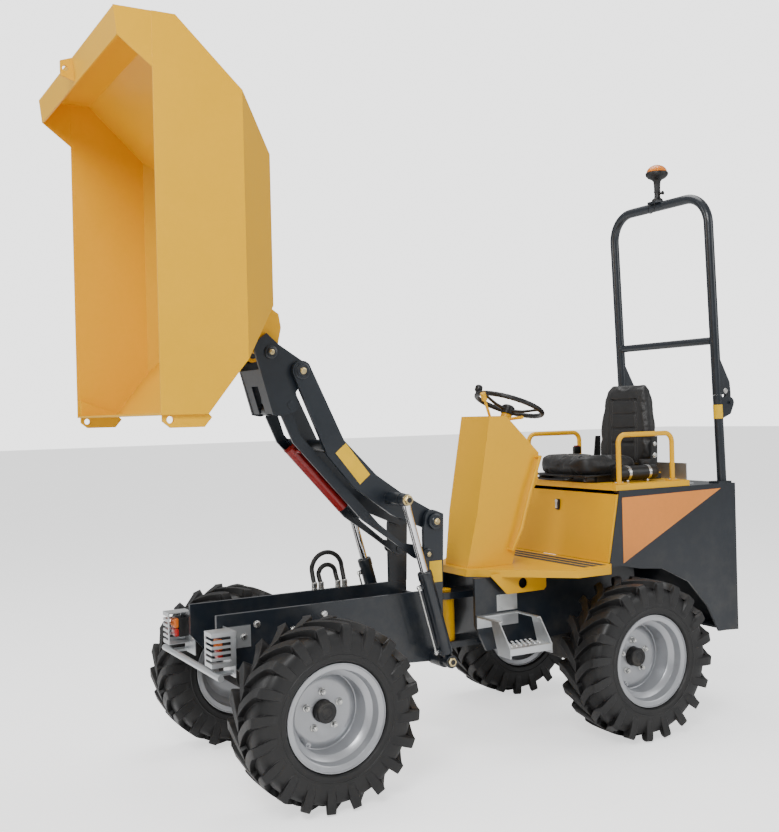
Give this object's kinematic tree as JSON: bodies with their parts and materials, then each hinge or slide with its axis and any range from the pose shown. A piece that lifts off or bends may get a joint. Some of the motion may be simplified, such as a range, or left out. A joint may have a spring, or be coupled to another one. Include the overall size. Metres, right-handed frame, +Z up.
{
  "type": "site dumper",
  "caption": "Articulated wheeled site dumper with a raised high-tip skip, parallel lift arm, rear engine, seat and folding roll-over hoop.",
  "frame": {"origin": "centre of the footprint at ground level", "axes": "+Z up, the machine faces -Y, its left side is at +X"},
  "size_m": [1.3, 3.415, 3.0768],
  "materials": {
    "yellow": "gloss yellow paint",
    "slate": "gloss dark slate paint",
    "cast": "painted casting, matt",
    "galvanised": "hot-dip galvanised, spangled",
    "silver": "silver grey wheel paint",
    "chrome": "hard chrome",
    "tyre": "black rubber",
    "vinyl": "black seat vinyl, grained",
    "black": "black, satin",
    "hose": "black hydraulic hose",
    "red": "red paint",
    "amber": "amber lens",
    "lens": "red and amber lens"
  },
  "bodies": {
    "rear_half": {"rear_frame": "slate", "rear_body": "slate", "rear_axle": "cast", "engine_block": "cast", "footplate": "yellow", "seat_base": "yellow", "steering_cowl": "yellow", "cab_step": "galvanised", "back_panel": "galvanised", "cover_hinge_leaf": "galvanised"},
    "knuckle": {"centre_pivot": "yellow"},
    "front_half": {"front_frame": "slate", "front_axle": "cast", "mast_left": "slate", "mast_right": "slate", "hose_loop_outer": "hose", "hose_loop_inner": "hose", "lamp_bar": "galvanised", "lamp_guard_left": "galvanised", "lamp_guard_right": "galvanised", "lamp_left": "lens", "lamp_right": "lens"},
    "boom_arm": {"boom": "slate"},
    "parallel_link": {"lower_link": "slate", "safety_strut": "red"},
    "skip_carrier": {"headstock": "slate"},
    "skip_box": {"skip": "yellow"},
    "lift_left_cylinder": {"lift_left_barrel": "black"},
    "lift_left_piston": {"lift_left_rod": "chrome"},
    "lift_right_cylinder": {"lift_right_barrel": "black"},
    "lift_right_piston": {"lift_right_rod": "chrome"},
    "tip_cylinder": {"tip_barrel": "black"},
    "tip_piston": {"tip_rod": "chrome"},
    "cover": {"engine_cover": "yellow", "seat_cushion": "vinyl", "seat_back": "vinyl", "grab_rail_left": "yellow", "grab_rail_right": "yellow", "document_tube": "black"},
    "hoop": {"roll_hoop": "slate", "beacon": "amber"},
    "hand_wheel": {"steering_wheel": "black"},
    "front_left_wheel": {"front_left_tyre": "tyre", "front_left_rim": "silver"},
    "front_right_wheel": {"front_right_tyre": "tyre", "front_right_rim": "silver"},
    "rear_left_wheel": {"rear_left_tyre": "tyre", "rear_left_rim": "silver"},
    "rear_right_wheel": {"rear_right_tyre": "tyre", "rear_right_rim": "silver"}
  },
  "joints": [
    {"name": "articulation", "type": "hinge", "parent": "rear_half", "child": "knuckle", "pos_m": [0, 0.0675, 0.575], "axis": [0, 0, 1], "range_deg": [-30, 30]},
    {"name": "oscillation", "type": "hinge", "parent": "knuckle", "child": "front_half", "pos_m": [0, 0.0675, 0.575], "axis": [0, 1, 0], "range_deg": [-8, 8]},
    {"name": "front_left_roll", "type": "hinge", "parent": "front_half", "child": "front_left_wheel", "pos_m": [0.518, -0.8325, 0.38], "axis": [1, 0, 0], "continuous": true},
    {"name": "front_right_roll", "type": "hinge", "parent": "front_half", "child": "front_right_wheel", "pos_m": [-0.518, -0.8325, 0.38], "axis": [1, 0, 0], "continuous": true},
    {"name": "rear_left_roll", "type": "hinge", "parent": "rear_half", "child": "rear_left_wheel", "pos_m": [0.518, 0.8395, 0.38], "axis": [1, 0, 0], "continuous": true},
    {"name": "rear_right_roll", "type": "hinge", "parent": "rear_half", "child": "rear_right_wheel", "pos_m": [-0.518, 0.8395, 0.38], "axis": [1, 0, 0], "continuous": true},
    {"name": "lift", "type": "hinge", "parent": "front_half", "child": "boom_arm", "pos_m": [0, -0.0765, 1.076], "axis": [-1, 0, 0], "range_deg": [-62, 0]},
    {"name": "link_swing", "type": "hinge", "parent": "front_half", "child": "parallel_link", "pos_m": [0, -0.1215, 0.926], "axis": [-1, 0, 0], "range_deg": [-62.5, 0.5]},
    {"name": "carrier_level", "type": "hinge", "parent": "boom_arm", "child": "skip_carrier", "pos_m": [0, -0.7255, 1.783], "axis": [-1, 0, 0], "range_deg": [-0.5, 62.5]},
    {"name": "tip", "type": "hinge", "parent": "skip_carrier", "child": "skip_box", "pos_m": [0, -0.8625, 1.867], "axis": [1, 0, 0], "range_deg": [-90, 0]},
    {"name": "lift_left_swing", "type": "hinge", "parent": "front_half", "child": "lift_left_cylinder", "pos_m": [0.29, -0.0915, 0.444], "axis": [-1, 0, 0], "range_deg": [-6.38, 0.2]},
    {"name": "lift_left_stroke", "type": "slide", "parent": "lift_left_cylinder", "child": "lift_left_piston", "axis": [0, -0.2678, 0.9635], "range_m": [-0.2532, 0.001]},
    {"name": "lift_right_swing", "type": "hinge", "parent": "front_half", "child": "lift_right_cylinder", "pos_m": [-0.29, -0.0915, 0.444], "axis": [-1, 0, 0], "range_deg": [-6.38, 0.2]},
    {"name": "lift_right_stroke", "type": "slide", "parent": "lift_right_cylinder", "child": "lift_right_piston", "axis": [0, -0.2678, 0.9635], "range_m": [-0.2532, 0.001]},
    {"name": "tip_swing", "type": "hinge", "parent": "skip_carrier", "child": "tip_cylinder", "pos_m": [0, -0.8325, 1.612], "axis": [1, 0, 0], "range_deg": [-20.06, 0.3]},
    {"name": "tip_stroke", "type": "slide", "parent": "tip_cylinder", "child": "tip_piston", "axis": [0, -0.0132, 0.9999], "range_m": [-0.1221, 0.001]},
    {"name": "cover_hinge", "type": "hinge", "parent": "rear_half", "child": "cover", "pos_m": [0, 1.3575, 1.187], "axis": [-1, 0, 0], "range_deg": [0, 45]},
    {"name": "hoop_fold", "type": "hinge", "parent": "rear_half", "child": "hoop", "pos_m": [0, 1.6575, 1.6], "axis": [-1, 0, 0], "range_deg": [0, 105]},
    {"name": "steering_spin", "type": "hinge", "parent": "rear_half", "child": "hand_wheel", "pos_m": [0, 0.4985, 1.615], "axis": [0, 0.3584, 0.9336], "continuous": true}
  ],
  "couplings": [
    {"joint": "link_swing", "follows": "lift", "ratio": 1},
    {"joint": "carrier_level", "follows": "lift", "ratio": -1},
    {"joint": "lift_left_swing", "follows": "lift", "ratio": 0.10095},
    {"joint": "lift_left_stroke", "follows": "lift", "m_per_rad": 0.23306},
    {"joint": "lift_right_swing", "follows": "lift", "ratio": 0.10095},
    {"joint": "lift_right_stroke", "follows": "lift", "m_per_rad": 0.23306},
    {"joint": "tip_swing", "follows": "tip", "ratio": 0.21951},
    {"joint": "tip_stroke", "follows": "tip", "m_per_rad": 0.0771}
  ]
}
